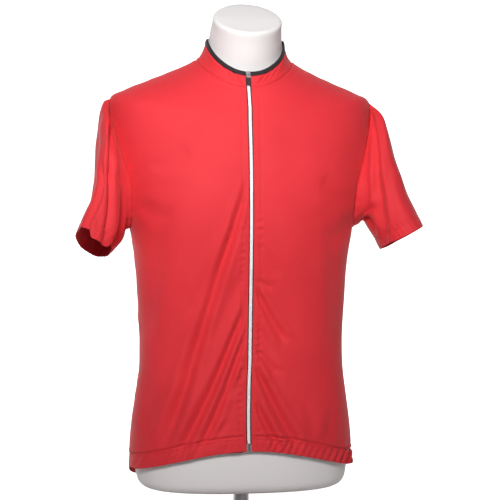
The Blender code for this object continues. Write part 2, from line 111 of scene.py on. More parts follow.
def add_object(name, data):
    """A new object in the scene for a mesh, a curve, a light or a camera."""
    made = bpy.data.objects.new(name, data)
    bpy.context.scene.collection.objects.link(made)
    return made


camera = add_object("camera", bpy.data.cameras.new("camera"))
camera.data.lens = LENS
camera.data.shift_x = LENS_SHIFT
camera.location = (DISTANCE * math.sin(AZIMUTH), -DISTANCE * math.cos(AZIMUTH), EYE_HEIGHT)
camera.rotation_euler = (math.pi / 2, 0, AZIMUTH)
bpy.context.scene.camera = camera

SWEEP_WIDTH = 9.0
SWEEP_FRONT = -4.0
SWEEP_BACK = 2.6
SWEEP_RADIUS = 1.2
SWEEP_TOP = 5.0
SWEEP_STEPS = 16
GLOW_BEHIND = (0.1, 0.6)
AMBIENT = 0.1
profile = [(SWEEP_FRONT, 0.0)]
for step in range(SWEEP_STEPS + 1):
    turn = math.pi / 2 * step / SWEEP_STEPS
    profile.append(
        (SWEEP_BACK + SWEEP_RADIUS * math.sin(turn), SWEEP_RADIUS * (1 - math.cos(turn)))
    )
profile.append((SWEEP_BACK + SWEEP_RADIUS, SWEEP_TOP))
points = [(x, y, z) for y, z in profile for x in (-SWEEP_WIDTH / 2, SWEEP_WIDTH / 2)]
faces = [(2 * n, 2 * n + 1, 2 * n + 3, 2 * n + 2) for n in range(len(profile) - 1)]
mesh = bpy.data.meshes.new("studio_sweep")
mesh.from_pydata(points, [], faces)
mesh.shade_smooth()
sweep = add_object("studio_sweep", mesh)
# Seamless paper: matt and white, lit on its own behind the object so that it burns out there.
paper, tree, shader = new_material("white backdrop paper", "#f4f4f4", 1.0)
shader.inputs["Emission Color"].default_value = (1, 1, 1, 1)
place = add_node(tree, "ShaderNodeTexCoord").outputs["Object"]
behind = add_node(tree, "ShaderNodeSeparateXYZ", {"Vector": place}).outputs["Y"]
near, far = GLOW_BEHIND
glow = add_node(tree, "ShaderNodeMapRange", {"Value": behind, "From Min": near, "From Max": far})
tree.links.new(glow.outputs["Result"], shader.inputs["Emission Strength"])
mesh.materials.append(paper)
sweep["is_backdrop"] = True

LIGHT_COLUMNS = ("name", "place", "aim", "size", "spread", "watts")
LIGHTS = (
    ("gridded_softbox", (-0.42, -1.65, 1.35), (0, 0, 0.68), 0.5, 60, 4.4),
    ("front_fill", (0.7, -2.4, 1.0), (0, 0, 0.5), 1.4, 180, 4),
)
for name, place, aim, size, spread, watts in LIGHTS:
    light = bpy.data.lights.new(name, "AREA")
    light.shape = "SQUARE"
    light.size = size
    light.spread = math.radians(spread)
    light.energy = watts
    lamp = add_object(name, light)
    back = np.array(place, float) - np.array(aim, float)
    yaw = math.atan2(back[1], back[0])
    tilt = math.acos(back[2] / np.linalg.norm(back))
    lamp.location = place
    lamp.rotation_euler = (tilt, 0, yaw + math.pi / 2)
world = bpy.data.worlds.new("studio")
bpy.context.scene.world = world
world.use_nodes = True
world.node_tree.nodes["Background"].inputs["Color"].default_value = (1, 1, 1, 1)
world.node_tree.nodes["Background"].inputs["Strength"].default_value = AMBIENT
bpy.context.scene.view_settings.view_transform = "Standard"


# The two fronts
# Knitted polyester, cut in two halves that the zip joins. All the body's panels lie on one
# stack of rings, so their seams meet; creases run down and out from the zip, where it pulls.

RING_COLUMNS = (
    "side_z", "half_width", "side_y", "front_z", "front_y", "back_z", "back_y", "square", "bend",
)
RINGS = (
    (146, 177.4, 4, 181, -108, 102, 120, 2.3, 3.0),
    (197, 176.6, 4, 226, -108, 160, 119, 2.3, 2.5),
    (255, 169.0, 3, 276, -106, 230, 113, 2.3, 2.0),
    (302, 162.6, 1, 318, -102, 284, 106, 2.3, 2.0),
    (347, 162.0, 0, 358, -101, 334, 101, 2.3, 2.0),
    (412, 165.0, 0, 418, -106, 402, 101, 2.3, 2.0),
    (470, 169.5, 0, 472, -115, 464, 107, 2.3, 2.0),
    (522, 177.5, 0, 520, -121, 518, 114, 2.28, 2.0),
    (575, 189.0, 0, 563, -122, 572, 118, 2.24, 2.0),
    (630, 200.0, 1, 606, -119, 630, 118, 2.15, 2.0),
    (686, 208.0, 2, 650, -113, 684, 114, 2.02, 1.95),
    (726, 208.5, 3, 687, -106, 722, 107, 1.92, 1.9),
    (740, 186.0, 3, 702, -101, 747, 98, 1.94, 1.8),
    (755, 150.0, 2, 715, -96, 769, 87, 1.98, 1.65),
    (771, 112.0, 0, 727, -91, 789, 74, 2.02, 1.5),
    (788, 77.0, -8, 738, -86, 806, 57, 2.05, 1.4),
    (804, 65.5, -17, 751, -81, 820, 46, 2.1, 1.3),
    (819, 61.5, -23, 762, -77, 834, 39, 2.1, 1.25),
)
# The rings at the armpit, the shoulder's tip, the collar's seam and its top, and the binding's foot
PIT, TIP, SEAM, COLLAR_TOP = 7, 11, 15, 17
BINDING_FROM = 16.4
# The neck's shift towards the wearer's left, and the rings between which it grows
NECK_SHIFT = 3.6
NECK_SHIFT_RINGS = (13.0, 15.6)
# The hem falls to the tail beside the back's middle, from the first ring to the second
TAIL_DROP = 70.0
TAIL_RINGS = (1.3, 0.0)
# How far the worn zip strays sideways at each ring
ZIP_SWAY = (-2.6, -3.4, -2.6, -0.5, 0.2, 0.3, -0.3, -0.7, -0.8) + (-0.6,) * 3 + (0.0,) * 6
# How far an armhole is cut in, in degrees, how round it is, and how much less that is at its top
ARMHOLES = {"front": (27.0, 0.7), "back": (24.0, 0.7)}
ARMHOLE_EASE = 0.76
# The cloth's thickness, and how far its rounded edge stands out as a share of that
CLOTH = 0.9
EDGE_ROUND = 0.3
ZIP_OPENING = 4.0
HEM_BAND = 22.0
GATHER_PITCH = 10.6
PUCKER_PITCH = 12.0
ZIP_STITCHES = 10.0
# Rows of a panel's grid below the armhole and beside it
BELOW_ROWS = 150
ARMHOLE_ROWS = 84


def through(rows, t):
    """A smooth curve through a table's rows at the places t, counted in rows."""
    rows = np.asarray(rows, float)
    rows = np.concatenate([2 * rows[:1] - rows[1:2], rows, 2 * rows[-1:] - rows[-2:-1]])
    t = np.asarray(t, float)
    first = np.clip(np.floor(t).astype(int), 0, len(rows) - 4)
    u = (t - first)[..., None]
    a, b, c, d = (rows[first + step] for step in range(4))
    slope, bend = (c - a) / 2, (d - b) / 2
    return b + u * (slope + u * (3 * (c - b) - 2 * slope - bend + u * (2 * (b - c) + slope + bend)))


def ramp(value, low, high):
    """Rises smoothly from 0 at low to 1 at high, or falls where low is the greater."""
    u = np.clip((value - low) / (high - low), 0, 1)
    return u * u * (3 - 2 * u)


def bell(distance, width):
    """1 at no distance, fading to 0 over about twice the width."""
    return np.exp(-((distance / width) ** 2))


def fold(off, half_width, brow_at):
    """A trough of depth 1 with a lower brow on each side, that many half widths away."""
    return 0.45 * bell(np.abs(off) - brow_at * half_width, half_width) - bell(off, half_width)


def neck_shift(t):
    """The collar sits a little towards the wearer's left, while the zip stays in the middle."""
    return NECK_SHIFT * ramp(t, *NECK_SHIFT_RINGS)


def ring_points(row, theta):
    """Points round one ring: its outline from a circle to a box, its front and back raised."""
    side_z, half_width, side_y, front_z, front_y, back_z, back_y, square, bend = row
    across, ahead = np.sin(theta), np.cos(theta)
    reach = (np.abs(across) ** square + np.abs(ahead) ** square) ** (-1 / square)
    depth = np.where(ahead > 0, side_y - front_y, back_y - side_y)
    rise = np.where(ahead > 0, front_z, back_z) - side_z
    y = side_y - depth * reach * ahead
    return np.stack([half_width * reach * across, y, side_z + rise * np.abs(ahead) ** bend], -1)


def body(theta, t):
    """Points on the body surface, theta 0 at the front, pi/2 at the wearer's left, t in rings."""
    theta, t = np.broadcast_arrays(theta, t)
    points = ring_points(np.moveaxis(through(RINGS, t), -1, 0), theta)
    points[..., 0] += neck_shift(t)
    behind = np.maximum(-np.cos(theta), 0)
    points[..., 2] -= TAIL_DROP * ramp(t, *TAIL_RINGS) * (behind - behind**2)
    return points


def unit(vectors):
    return vectors / np.linalg.norm(vectors, axis=-1, keepdims=True)


def body_normal(theta, t):
    """The body surface's outward directions."""
    step = 1e-3
    around = body(theta + step, t) - body(theta - step, t)
    up = body(theta, t + step) - body(theta, t - step)
    return unit(np.cross(around, up))


def surface(theta, t):
    """The body surface's points and their outward directions."""
    return body(theta, t), body_normal(theta, t)


def angle_at(x, rings):
    """The angle of a point near the front's middle, x to the wearer's left of it."""
    stray = through(np.array([ZIP_SWAY]).T, rings)[..., 0] - neck_shift(rings)
    return (x + stray) / through(RINGS, rings)[..., 1]


def creases(x, z, table):
    """How far creases move the cloth out: troughs that widen from their starts to their ends."""
    height = np.zeros_like(x)
    for x0, z0, x1, z1, bow, narrow, wide, depth in table:
        length = math.hypot(x1 - x0, z1 - z0)
        run, side = (x1 - x0) / length, (z1 - z0) / length
        along = ((x - x0) * run + (z - z0) * side) / length
        off = (x - x0) * side - (z - z0) * run - bow * 4 * along * (1 - along)
        half_width = narrow + (wide - narrow) * np.clip(along, 0, 1)
        fade = ramp(along, -0.06, 0.2) * ramp(along, 1.06, 0.86)
        height += depth * fade * fold(off, half_width, 1.9)
    return height


def soft_noise(x, z, seed, span, size):
    """Slow unevenness of the cloth: a few crossing waves of about that span."""
    draw = np.random.RandomState(seed)
    height = np.zeros_like(x)
    for _ in range(6):
        turn, phase = draw.uniform(0, 2 * math.pi, 2)
        pitch = span * draw.uniform(0.7, 1.5)
        height += np.sin((x * math.cos(turn) + z * math.sin(turn)) * 2 * math.pi / pitch + phase)
    return height * size / 6


def armhole_edge(panel, phi):
    """A panel's edge at the armhole, phi 0 at the pit and pi at the shoulder tip: (angle, ring)."""
    dip, roundness = ARMHOLES[panel]
    up = (1 - np.cos(phi)) / 2
    ease = 1 - ARMHOLE_EASE * ramp(up, 0.25, 0.95)
    inward = math.radians(dip) * np.sin(phi) ** roundness * ease
    ring = PIT + (TIP - PIT) * up
    return (math.pi / 2 - inward if panel == "front" else math.pi / 2 + inward), ring


def panel_grid(kind, side, columns):
    """A panel's grid: the angle and ring of each point."""
    edge, armhole = armhole_edge(kind, np.linspace(0, math.pi, ARMHOLE_ROWS))
    share = np.linspace(0, 1, BELOW_ROWS + 1)[:-1]
    below = PIT * share * (0.5 + 0.5 * share)
    above = np.linspace(TIP, SEAM, 50)[1:]
    rings = np.concatenate([below, armhole, above])
    side_line = math.pi / 2
    edges = np.concatenate([np.full(len(below), side_line), edge, np.full(len(above), side_line)])
    share = np.linspace(0, 1, columns + 1)
    if side:
        share = share * (0.62 + 0.38 * share)
        start, end = angle_at(side * ZIP_OPENING, rings), side * edges
    else:
        start, end = edges, 2 * math.pi - edges
    return start[:, None] + (end - start)[:, None] * share, rings[:, None]


def arc_lengths(points):
    """Distances over the cloth: along each row from its first point, and up each column."""
    across = np.linalg.norm(np.diff(points, axis=1), axis=-1)
    up = np.linalg.norm(np.diff(points, axis=0), axis=-1)
    u = np.concatenate([np.zeros((len(points), 1)), np.cumsum(across, axis=1)], axis=1)
    v = np.concatenate([np.zeros((1, points.shape[1])), np.cumsum(up, axis=0)], axis=0)
    return u, v


def cloth(name, outer, inner, material, closed=False):
    """A thin sheet between two grids of points, its edges rounded. Its UV map is in metres."""
    rows, columns = outer.shape[:2]
    count = rows * columns
    place = np.arange(count).reshape(rows, columns)
    last = columns if closed else columns - 1
    beside = (np.arange(last) + 1) % columns
    top = np.stack(
        [place[:-1, :last], place[:-1][:, beside], place[1:][:, beside], place[1:, :last]], axis=-1
    ).reshape(-1, 4)
    faces = [top, top[:, ::-1] + count]
    flat_outer, flat_inner = outer.reshape(-1, 3), inner.reshape(-1, 3)
    points, sources, used = [flat_outer, flat_inner], [place.ravel(), place.ravel()], 2 * count
    borders = [(place[0], outer[0] - outer[1])]
    if not closed:
        borders.append((place[:, -1], outer[:, -1] - outer[:, -2]))
    borders.append((place[-1][::-1], (outer[-1] - outer[-2])[::-1]))
    if not closed:
        borders.append((place[::-1, 0], (outer[:, 0] - outer[:, 1])[::-1]))
    rims = []
    for line, away in borders:
        wall = np.linalg.norm(flat_outer[line] - flat_inner[line], axis=-1, keepdims=True)
        points.append((flat_outer[line] + flat_inner[line]) / 2 + unit(away) * wall * EDGE_ROUND)
        sources.append(line)
        rim = used + np.arange(len(line))
        rims.append(rim)
        used += len(line)
        ahead = (np.arange(last if closed else len(line) - 1) + 1) % len(line)
        here = np.arange(len(ahead))
        for low, high in ((line, rim), (rim, line + count)):
            faces.append(np.stack([low[here], high[here], high[ahead], low[ahead]], axis=-1))
    if not closed:
        for number, (line, _) in enumerate(borders):
            corner = line[-1]
            following = rims[(number + 1) % 4][0]
            faces.append(np.array([[corner, rims[number][-1], corner + count, following]]))
    mesh = bpy.data.meshes.new(name)
    mesh.from_pydata((np.concatenate(points) * MM).tolist(), [], np.concatenate(faces).tolist())
    u, v = arc_lengths(outer)
    spread = (np.stack([u, v], axis=-1).reshape(-1, 2) * MM)[np.concatenate(sources)]
    loops = np.empty(len(mesh.loops), np.int32)
    mesh.loops.foreach_get("vertex_index", loops)
    mesh.uv_layers.new(name="cloth").data.foreach_set("uv", spread[loops].ravel())
    work = bmesh.new()
    work.from_mesh(mesh)
    bmesh.ops.recalc_face_normals(work, faces=work.faces)
    work.to_mesh(mesh)
    work.free()
    mesh.materials.append(material)
    mesh.shade_smooth()
    return add_object(name, mesh)


def flat_size(points):
    """The cut of a piece, as worn flat: its greatest width, its length and its area, in metres."""
    across = np.linalg.norm(np.diff(points, axis=1), axis=-1).sum(axis=1)
    up = np.linalg.norm(np.diff(points, axis=0), axis=-1).sum(axis=0)
    a, b = points[1:, :-1] - points[:-1, :-1], points[:-1, 1:] - points[:-1, :-1]
    area = np.linalg.norm(np.cross(a, b), axis=-1).sum()
    return float(across.max() * MM), float(up.max() * MM), float(area * MM * MM)


def stand_for(made, node, body="root"):
    """Rides a piece on its body in its solid's place, and hides that solid."""
    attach(made, body)
    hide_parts(node)


def state_cloth(made, node):
    """The same for a sheet."""
    stand_for(made, node)


def noise(tree, scale, detail):
    """Noise over the object's own coordinates, in metres."""
    place = add_node(tree, "ShaderNodeTexCoord").outputs["Object"]
    inputs = {"Vector": place, "Scale": scale, "Detail": detail}
    return add_node(tree, "ShaderNodeTexNoise", inputs).outputs["Fac"]


def cloth_bands(tree, direction, spacing, distortion, detail=2.0):
    """Bands over a cloth piece's own UV map, that many mm apart."""
    return add_node(
        tree, "ShaderNodeTexWave",
        {"Vector": add_node(tree, "ShaderNodeUVMap", uv_map="cloth").outputs["UV"],
         "Scale": math.pi / 10 / (spacing * MM), "Distortion": distortion, "Detail": detail},
        bands_direction=direction,
    ).outputs["Fac"]


# Interlock knit polyester, jersey weight: matt, with a faint nap that greys at grazing angles and
# wales 1.1 mm apart, drawn a little coarser than the real 0.7 mm so that they show.
WALE = 1.1
knit, tree, shader = new_material(
    "interlock knit polyester", "#dc2d36", 0.72, sheen_weight=0.12, sheen_roughness=0.5
)
shader.inputs["Sheen Tint"].default_value = hex_to_linear("#f2c8c8")
shader.inputs["Specular IOR Level"].default_value = 0.3
wales = cloth_bands(tree, "X", WALE, 1.2, 1.0)
courses = cloth_bands(tree, "Y", WALE * 1.15, 0.8, 1.0)
loops_height = add_node(
    tree, "ShaderNodeMath", {0: wales, 1: courses}, operation="MULTIPLY"
).outputs[0]
tint = add_node(tree, "ShaderNodeValToRGB", {"Fac": noise(tree, 9.0, 3.0)})
tint.color_ramp.elements[0].position = 0.3
tint.color_ramp.elements[0].color = hex_to_linear("#d62a33")
tint.color_ramp.elements[1].position = 0.7
tint.color_ramp.elements[1].color = hex_to_linear("#e03039")
tree.links.new(tint.outputs["Color"], shader.inputs["Base Color"])
add_bump(tree, shader, loops_height, 0.35, 0.00012)

# start x and z, end x and z, bow, half width at the start and at the end, depth
FRONT_CREASES = (
    (-7, 590, -127, 188, 0, 5, 9, 6.4),
    (-8, 402, -110, 174, -5, 4.5, 8, 6.8),
    (-8, 360, -80, 180, -3, 4, 7, 6.0),
    (-9, 306, -34, 262, 0, 4, 6, 2.4),
    (-36, 228, -64, 184, 0, 4, 6, 2.6),
    (-10, 530, -92, 380, 4, 7, 13, 2.2),
    (-10, 460, -64, 345, -3, 6, 10, 1.8),
    (-34, 440, -96, 280, 6, 8, 12, 1.4),
    (-84, 300, -134, 190, 3, 6, 9, 1.8),
    (8, 430, 56, 346, 3, 3.6, 7, 4.6),
    (8, 442, 32, 428, 0, 3, 6, 1.6),
    (8, 310, 76, 182, 3, 4.5, 8, 6.2),
    (9, 340, 40, 298, 2, 4, 7, 2.8),
    (8, 256, 44, 186, 2, 3.6, 6, 4.8),
    (10, 380, 50, 290, 4, 4, 8, 1.6),
    (9, 500, 44, 448, 3, 6, 10, 1.4),
    (86, 256, 100, 196, -2, 6, 9, 1.1),
    (132, 240, 120, 190, 0, 7, 9, 1.4),
    (128, 500, 142, 330, -4, 12, 15, 1.8),
    (-134, 522, -158, 350, 4, 8, 12, 2.4),
    (-118, 520, -147, 362, 4, 8, 12, 1.6),
    (-150, 300, -150, 205, 3, 8, 12, 1.4),
    (-150, 612, -96, 640, 6, 9, 16, 1.5),
    (168, 560, 112, 596, -5, 9, 16, 1.7),
    (-166, 560, -120, 536, 5, 8, 15, 1.8),
    (166, 536, 118, 500, -5, 8, 15, 1.8),
)


def hem_gathers(x, above, amount):
    """The elastic hem draws the cloth into slanting ripples, which die out above its stitching."""
    slant = x - 0.5 * above
    wander = 2.2 * np.sin(slant / 31.0) + 1.4 * np.sin(slant / 17.0 + 1.0)
    turn = (slant + wander) * 2 * math.pi / GATHER_PITCH
    ripple = np.sin(turn) + 0.3 * np.sin(2 * turn + 0.6)
    uneven = 0.7 + 0.3 * np.sin(slant / 23.0 + 0.7)
    in_band = ramp(above, HEM_BAND + 1, HEM_BAND - 5) * ramp(above, -4, 4)
    return amount * ripple * uneven * (in_band + 0.3 * ramp(above, HEM_BAND + 26, HEM_BAND + 1))


def hem_finish(above):
    """A turned hem: a little thicker below its stitching, which sinks into the cloth."""
    thicker = 0.9 * ramp(above, HEM_BAND + 1.0, HEM_BAND - 2.0)
    groove = -2.3 * bell(above - HEM_BAND - 0.6, 1.6)
    groove -= 0.9 * bell(above - HEM_BAND + 4.5, 1.1)
    return thicker + groove + 0.9 * bell(above - HEM_BAND - 5.5, 2.8)


def seam_roll(distance):
    """The cloth turns in a little over the last millimetres before a seam."""
    return -0.6 * bell(distance, 1.2) + 0.5 * bell(distance - 3.6, 1.8)


def dress_panel(points, normals, side):
    """A panel's own shape: creases, hem, seam lines and the slow unevenness of worn cloth."""
    x, z = points[..., 0], points[..., 2]
    u, v = arc_lengths(points)
    from_last = u[:, -1:] - u
    pucker_noise = 0.28 * np.sin(v / 5.5 + 1.3 * np.sin(v / 19.0))
    if side:
        height = creases(x, z, FRONT_CREASES) * ramp(np.abs(x), 5, 12) * ramp(from_last, 1, 14)
        turn = v * 2 * math.pi / PUCKER_PITCH + 2.6 * np.sin(v / 37.0 + side) - 0.12 * side * u
        uneven = 0.6 + 0.4 * np.sin(v / 29.0 + 2 * side)
        worn = ramp(z, 600, 470) * ramp(v, 10, 26)
        height += 0.85 * np.sin(turn) * uneven * bell(u - 9.5, 5.0) * worn
        groove = bell(u - ZIP_STITCHES, 1.6) * ramp(z, 735, 700)
        height -= groove * (0.4 + 0.5 * ramp(z, 520, 420))
        ripples = hem_gathers(x, v, 1.9 if side > 0 else 0.7) * ramp(from_last, 0.5, 9)
        height += ripples * (ramp(u, 10, 50) if side > 0 else ramp(u, 8, 30))
        height += seam_roll(from_last) + pucker_noise * bell(from_last, 7.0)
    else:
        from_seam = np.minimum(u, from_last)
        height = creases(x, z, BACK_CREASES) * ramp(from_seam, 1, 14)
        height += hem_gathers(x, v, 0.9) * ramp(from_seam, 0.5, 9)
        for distance in (u, from_last):
            height += seam_roll(distance) + pucker_noise * bell(distance, 7.0)
    calm = ramp(np.minimum(u + 9 * abs(side), from_last), 0, 26) * ramp(z, 700, 640)
    height += soft_noise(x, z, 7 + side, 74.0, 1.1) * calm
    height += hem_finish(v) * (ramp(u, 2, 6) if side else 1)
    height += seam_roll(v[-1:] - v)
    return points + normals * height[..., None]


# Rings of a sleeve past its armhole: the ends away from and beside the body, lift turns it
SLEEVE_COLUMNS = ("outer_x", "outer_z", "inner_x", "inner_z", "mid_y", "half_depth", "lift")
SLEEVES = {
    "right": (
        -1,
        (
            (222, 714, 185, 519, -6, 66, 0),
            (231, 652, 189, 508, -20, 67, 5),
            (237, 577, 196, 497, -37, 65, 12),
            (263, 510, 209, 487, -54, 61, 19),
        ),
    ),
    "left": (
        1,
        (
            (228, 704, 187, 529, -6, 66, 0),
            (242, 642, 197, 535, -20, 67, 2),
            (258, 580, 208, 515, -37, 65, 5),
            (280, 522, 219, 492, -54, 61, 10),
        ),
    ),
}


def armhole_loop(side, phi):
    """The seam where a sleeve joins the body, and the body's normals along it."""
    ahead = phi <= math.pi
    front = armhole_edge("front", np.where(ahead, phi, 0))
    back = armhole_edge("back", np.where(ahead, 0, 2 * math.pi - phi))
    theta = np.where(ahead, front[0], back[0]) * side
    ring = np.where(ahead, front[1], back[1])
    return surface(theta, ring)


def sleeve_surface(side, rings, phi, v):
    """Points of a sleeve, phi round it and v from 0 at the armhole to 1 at the cuff."""
    loops = [armhole_loop(side, phi)[0]]
    for outer_x, outer_z, inner_x, inner_z, mid_y, half_depth, lift in rings:
        out, ahead = -np.cos(phi), np.sin(phi)
        x = (outer_x + inner_x) / 2 + (outer_x - inner_x) / 2 * out
        z = (outer_z + inner_z) / 2 + (outer_z - inner_z) / 2 * out + lift * ahead
        loops.append(np.stack([side * x, mid_y - half_depth * ahead, z], axis=-1))
    loops = np.stack(loops)
    smooth = through(loops.reshape(len(loops), -1), v * (len(loops) - 1))
    return smooth.reshape(len(v), len(phi), 3)


def armhole_mitre(side, rings, phi):
    """Normals along the armhole's seam, half-way between the body's and the sleeve's."""
    step = 1e-3
    seam, normal = armhole_loop(side, phi)
    leave = unit(sleeve_surface(side, rings, phi, np.array([0.04]))[0] - seam)
    ahead = armhole_loop(side, (phi + step) % (2 * math.pi))[0]
    behind = armhole_loop(side, (phi - step) % (2 * math.pi))[0]
    sleeve_normal = np.cross(leave, unit(ahead - behind))
    sleeve_normal *= np.sign(np.sum(sleeve_normal * (seam - seam.mean(axis=0)), -1))[:, None]
    return unit(normal + unit(sleeve_normal))


def ease_normals(normals, lines, seam_normals):
    """Turns a piece's normals towards the seam's, less from each line of its grid to the next."""
    for line, share in zip(lines, (1.0, 0.75, 0.45, 0.2)):
        normals[line] = unit(normals[line] * (1 - share) + seam_normals * share)


FRONT_COLUMNS = 96
armhole_rows = slice(BELOW_ROWS, BELOW_ROWS + ARMHOLE_ROWS)
first_lines = [(armhole_rows, column) for column in (0, 1, 2, 3)]
last_lines = [(armhole_rows, column) for column in (-1, -2, -3, -4)]
phi = np.linspace(0, math.pi, ARMHOLE_ROWS)
panels = {}
for name, side in (("front_left", 1), ("front_right", -1)):
    theta, rings = panel_grid("front", side, FRONT_COLUMNS)
    base, normals = surface(theta, rings)
    ease_normals(normals, last_lines, armhole_mitre(*SLEEVES[name[6:]], phi))
    points = dress_panel(base, normals, side)
    panels[name] = (points, normals)
    made = cloth("knit_" + name, points, points - CLOTH * normals, knit)
    state_cloth(made, name)


# The back
# One piece of the same knit, with a tail longer than the fronts. Wider creases cross the waist.

BACK_CREASES = (
    (-60, 480, -148, 350, -6, 9, 15, 4.0),
    (52, 460, 140, 330, 5, 9, 15, 4.4),
    (-20, 440, -84, 338, 3, 8, 13, 3.2),
    (18, 446, 70, 350, 2, 7, 13, 2.4),
    (96, 570, 128, 430, 6, 10, 15, 3.2),
    (-104, 585, -138, 450, -5, 10, 15, 3.4),
    (-150, 600, -84, 640, 8, 9, 16, 2.0),
    (150, 606, 92, 650, -7, 9, 16, 1.8),
)
BACK_COLUMNS = 150
theta, rings = panel_grid("back", 0, BACK_COLUMNS)
base, normals = surface(theta, rings)
behind = (2 * math.pi - phi) % (2 * math.pi)
ease_normals(normals, first_lines, armhole_mitre(*SLEEVES["left"], behind))
ease_normals(normals, last_lines, armhole_mitre(*SLEEVES["right"], behind))
points = dress_panel(base, normals, 0)
panels["back"] = (points, normals)
made = cloth("knit_back", points, points - CLOTH * normals, knit)
state_cloth(made, "back")


# Rear pockets
# A second layer sewn over the lower back on three sides and along two lines, which part it into
# three pockets. They stand open a little at the top. The photo doesn't show them.

POCKET_CLEAR = 0.35
POCKET_FULLNESS = 2.6
POCKET_ROWS = (0.54, 3.23)
POCKET_SHARE = (0.154, 0.846)
POCKET_BAND = 14.0
points, normals = panels["back"]
ring_of_row = panel_grid("back", 0, BACK_COLUMNS)[1][:, 0]
rows = np.flatnonzero((ring_of_row > POCKET_ROWS[0]) & (ring_of_row < POCKET_ROWS[1]))
rows = rows[rows < np.argmax(ring_of_row > PIT)]
low, high = (round(share * BACK_COLUMNS) for share in POCKET_SHARE)
points, normals = points[rows, low:high + 1], normals[rows, low:high + 1]
share = np.linspace(0, 3, points.shape[1])
from_bottom = np.linspace(0, 1, len(rows))[:, None]
fullness = np.abs(np.sin(share * math.pi)) ** 0.7 * ramp(from_bottom, 0, 0.8)
u, v = arc_lengths(points)
band = -0.35 * bell(v[-1:] - v - POCKET_BAND, 1.2)
lift = POCKET_CLEAR + POCKET_FULLNESS * fullness + band + 0.35
points = points + normals * lift[..., None]
pocket_points, pocket_normals = points, normals
made = cloth("knit_pockets", points + CLOTH * normals, points, knit)
state_cloth(made, "pocket_panel")


# Sleeves
# Short set-in sleeves, one tube each, seamed to the armhole. The left one stands out further.
# Both have soft creases down their length and a turned cuff with two rows of stitches.

# Places round the sleeve (0 underarm, 90 front, 180 outside) evenly spaced along a crease, where
# it starts and ends down the sleeve, half width in degrees, depth, and its share left at the cuff
SLEEVE_CREASES = {
    "right": (
        ((138, 108, 94, 80, 56), 0.0, 1.05, 10, 6.6, 0.6),
        ((122, 124, 122, 106), 0.5, 1.1, 8, 5.5, 1.0),
        ((54, 38, 26), 0.15, 1.0, 10, 6.0, 0.3),
        ((28, 20, 16), 0.05, 0.6, 7, 2.4, 0.0),
        ((158, 162, 160), 0.35, 1.05, 12, 2.2, 0.5),
        ((250, 254, 258), 0.2, 1.05, 15, 3.6, 0.4),
        ((306, 302, 300), 0.4, 1.05, 13, 2.6, 0.4),
        ((280, 281, 282), 0.1, 0.8, 9, 1.4, 0.3),
    ),
    "left": (
        ((142, 84, 62, 40, 14), 0.0, 1.0, 10, 6.2, 0.4),
        ((30, 38, 46), 0.1, 0.5, 8, 2.4, 0.0),
        ((24, 18, 14), 0.1, 0.7, 8, 3.4, 0.0),
        ((112, 116, 112), 0.5, 1.0, 12, 1.4, 0.3),
        ((150, 146, 140), 0.3, 0.9, 14, 1.4, 0.2),
        ((248, 256, 252), 0.15, 1.05, 14, 3.6, 0.4),
        ((300, 304, 310), 0.35, 1.05, 12, 2.8, 0.3),
    ),
}
SLEEVE_AROUND = 180
SLEEVE_ALONG = 116
CUFF_STITCHES = (16.0, 20.0)
# The front of the right cuff hangs lower than the rest, over a fold: how far, and between which
# places round the sleeve it starts and ends
CUFF_DROPS = {"right": (15.0, (20, 58), (110, 98)), "left": (3.0, (20, 60), (160, 110))}


def tube_normals(points):
    """Outward directions over a sleeve's grid."""
    around = np.roll(points, -1, axis=1) - np.roll(points, 1, axis=1)
    normals = unit(np.cross(around, np.gradient(points, axis=0)))
    return normals * np.sign(np.sum(normals * (points - points.mean(axis=1, keepdims=True))))


sleeves = {}
phi = np.linspace(0, 2 * math.pi, SLEEVE_AROUND, endpoint=False)
v = np.linspace(0, 1, SLEEVE_ALONG + 1)
for name, (side, rings) in SLEEVES.items():
    base = sleeve_surface(side, rings, phi, v)
    normals = tube_normals(base)
    ease_normals(normals, range(4), armhole_mitre(side, rings, phi))
    run = arc_lengths(base)[1]
    above_cuff = run[-1:] - run
    height = np.zeros(base.shape[:2])
    for places, start, end, half_angle, depth, at_cuff in SLEEVE_CREASES[name]:
        share = np.clip((v - start) / (end - start), 0, 1)
        angle = through(np.array([places]).T, share * (len(places) - 1))
        off = (np.degrees(phi)[None, :] - angle + 180) % 360 - 180
        fade = ramp(v, start, start + 0.16) * ramp(v, end + 0.25, end - 0.1)
        fade = (fade * (1 - (1 - at_cuff) * ramp(v, 0.7, 0.95)))[:, None]
        height += depth * fade * fold(off, half_angle, 2)
    uneven = soft_noise(base[..., 1], base[..., 2], 20 + side, 46.0, 1.2)
    height += uneven * ramp(run, 4, 30)
    pucker = 0.45 * np.sin(phi * 34 + 2.0 * np.sin(phi * 5)) * bell(run, 9.0)
    height += seam_roll(run) + pucker
    height += 0.6 * ramp(above_cuff, 21.5, 18.5)
    for place in CUFF_STITCHES:
        height -= 1.0 * bell(above_cuff - place, 1.2)
    ripple = np.sin(phi * 30 + 1.5 * np.sin(phi * 4 + side) + above_cuff / 9.0)
    height += 0.28 * ripple * ramp(above_cuff, 34, 14)
    points = base + normals * height[..., None]
    drop, rises, falls = CUFF_DROPS[name]
    window = ramp(np.degrees(phi), *rises) * ramp(np.degrees(phi), *falls)
    points[..., 2] -= drop * window * ramp(v, 0.55, 1.0)[:, None]
    sleeves[name] = (points, normals)
    made = cloth("knit_sleeve_" + name, points, points - CLOTH * normals, knit, closed=True)
    state_cloth(made, "sleeve_" + name)


# Collar and its binding
# A stand collar of the same knit, seamed to the neckline and drawn in a little beside the zip.
# A black knitted binding, 7 mm deep, is folded over its top edge.

COLLAR_COLUMNS = 260
COLLAR_ROWS = 30
BINDING_WALL = 2.0
SEAM_RINGS = 0.02
